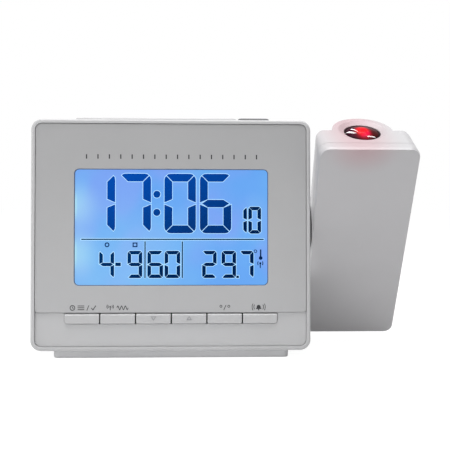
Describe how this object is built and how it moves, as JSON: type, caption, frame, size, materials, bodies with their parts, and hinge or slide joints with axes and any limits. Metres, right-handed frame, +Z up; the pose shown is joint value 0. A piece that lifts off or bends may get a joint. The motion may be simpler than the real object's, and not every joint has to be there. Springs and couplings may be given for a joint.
{
  "type": "projection alarm clock",
  "caption": "Bedside clock with a lit digital display, keys and a snooze bar, and a side arm that tilts to project the time on a wall or ceiling.",
  "frame": {"origin": "centre of the plinth's underside, on the surface that the clock stands on", "axes": "+X to the viewer's right, along the row of body and arm; +Y to the back; +Z up; the display faces -Y"},
  "size_m": [0.1501, 0.0567, 0.0957],
  "materials": {
    "case_plastic": "satin moulded plastic",
    "plate_plastic": "fine matt",
    "clear_sheet": "clear",
    "display": "clear",
    "light_guide": "frosted",
    "led_white": "moulded",
    "white_plastic": "moulded",
    "elastomer": "soft",
    "circuit_board": "solder mask",
    "black_resin": "cast resin",
    "tin_plate": "plated",
    "sensor_bead": "dipped bead",
    "switch_plastic": "moulded",
    "plinth_plastic": "satin moulded plastic",
    "foot_rubber": "soft",
    "zinc_steel": "zinc plated",
    "cell_jacket": "printed sleeve",
    "spring_steel": "nickel plated",
    "ferrite": "sintered",
    "copper_wire": "enamelled",
    "lead_jacket": "soft",
    "acetal": "moulded",
    "arm_plastic": "satin moulded plastic",
    "friction_rubber": "soft",
    "led_red": "moulded",
    "key_plastic": "satin moulded plastic",
    "dark_plastic": "moulded",
    "barrel_plastic": "moulded",
    "lens_glass": "polished"
  },
  "bodies": {
    "body": {"front_case": "case_plastic", "face_plate": "plate_plastic", "lcd_window": "clear_sheet", "lcd_glass": "display", "light_guide": "light_guide", "backlight_leds": "led_white", "lcd_holder": "white_plastic", "contact_strip": "elastomer", "main_board": "circuit_board", "clock_chip": "black_resin", "quartz_crystal": "tin_plate", "radio_module": "circuit_board", "temperature_sensor": "sensor_bead", "key_switches": "switch_plastic", "top_board": "circuit_board", "top_switches": "switch_plastic", "rear_case": "case_plastic", "base_plate": "plinth_plastic", "rubber_feet": "foot_rubber", "case_screws": "zinc_steel", "board_screws": "zinc_steel", "battery_cells": "cell_jacket", "battery_springs": "spring_steel", "battery_plates": "spring_steel", "power_jack": "dark_plastic", "projection_switch": "tin_plate", "buzzer": "dark_plastic", "ferrite_rod": "ferrite", "antenna_coil": "copper_wire", "body_lead": "lead_jacket", "pivot_bush": "acetal"},
    "arm": {"arm_front_cover": "arm_plastic", "arm_rear_housing": "arm_plastic", "friction_washer": "friction_rubber", "spring_washer": "spring_steel", "retaining_ring": "spring_steel", "optics_tube": "dark_plastic", "projection_lcd": "display", "condenser_lens": "lens_glass", "projector_led": "led_red", "led_board": "circuit_board", "arm_lead": "lead_jacket", "arm_screws": "zinc_steel"},
    "wheel": {"focus_wheel": "dark_plastic"},
    "lens_carrier": {"lens_barrel": "barrel_plastic", "projection_lens": "lens_glass"},
    "snooze": {"snooze_bar": "case_plastic"},
    "light": {"light_button": "dark_plastic"},
    "door": {"battery_door": "case_plastic"},
    "knob": {"switch_knob": "dark_plastic"},
    "key_left_1": {"key_left_1": "key_plastic"},
    "key_left_2": {"key_left_2": "key_plastic"},
    "key_down": {"key_down": "key_plastic"},
    "key_up": {"key_up": "key_plastic"},
    "key_right_1": {"key_right_1": "key_plastic"},
    "key_right_2": {"key_right_2": "key_plastic"}
  },
  "joints": [
    {"name": "arm_tilt", "type": "hinge", "parent": "body", "child": "arm", "pos_m": [0.055, 0.00199, 0.05015], "axis": [1, 0, 0], "range_deg": [-118, 61]},
    {"name": "key_left_1_press", "type": "slide", "parent": "body", "child": "key_left_1", "axis": [0, 0.9986, -0.0523], "range_m": [0, 0.0005], "stiffness_N_per_m": 400},
    {"name": "key_left_2_press", "type": "slide", "parent": "body", "child": "key_left_2", "axis": [0, 0.9986, -0.0523], "range_m": [0, 0.0005], "stiffness_N_per_m": 400},
    {"name": "key_down_press", "type": "slide", "parent": "body", "child": "key_down", "axis": [0, 0.9986, -0.0523], "range_m": [0, 0.0005], "stiffness_N_per_m": 400},
    {"name": "key_up_press", "type": "slide", "parent": "body", "child": "key_up", "axis": [0, 0.9986, -0.0523], "range_m": [0, 0.0005], "stiffness_N_per_m": 400},
    {"name": "key_right_1_press", "type": "slide", "parent": "body", "child": "key_right_1", "axis": [0, 0.9986, -0.0523], "range_m": [0, 0.0005], "stiffness_N_per_m": 400},
    {"name": "key_right_2_press", "type": "slide", "parent": "body", "child": "key_right_2", "axis": [0, 0.9986, -0.0523], "range_m": [0, 0.0005], "stiffness_N_per_m": 400},
    {"name": "snooze_press", "type": "slide", "parent": "body", "child": "snooze", "axis": [0, -0.0523, -0.9986], "range_m": [0, 0.0008], "stiffness_N_per_m": 600, "springref_m": -0.0004},
    {"name": "light_press", "type": "slide", "parent": "body", "child": "light", "axis": [0, -0.0523, -0.9986], "range_m": [0, 0.0008], "stiffness_N_per_m": 400, "springref_m": -0.0004},
    {"name": "battery_door_off", "type": "slide", "parent": "body", "child": "door", "axis": [0, 0.9986, -0.0523], "range_m": [0, 0.04]},
    {"name": "switch_slide", "type": "slide", "parent": "body", "child": "knob", "axis": [1, 0, 0], "range_m": [0, 0.003]},
    {"name": "focus_turn", "type": "hinge", "parent": "arm", "child": "wheel", "pos_m": [0.0757, -0.00471, 0.07778], "axis": [0, -0.4741, 0.8805], "range_deg": [-60, 60]},
    {"name": "lens_focus", "type": "slide", "parent": "arm", "child": "lens_carrier", "axis": [0, -0.4741, 0.8805], "range_m": [-0.001, 0.001]}
  ],
  "couplings": [
    {"joint": "lens_focus", "follows": "focus_turn", "m_per_rad": 0.0009454}
  ]
}
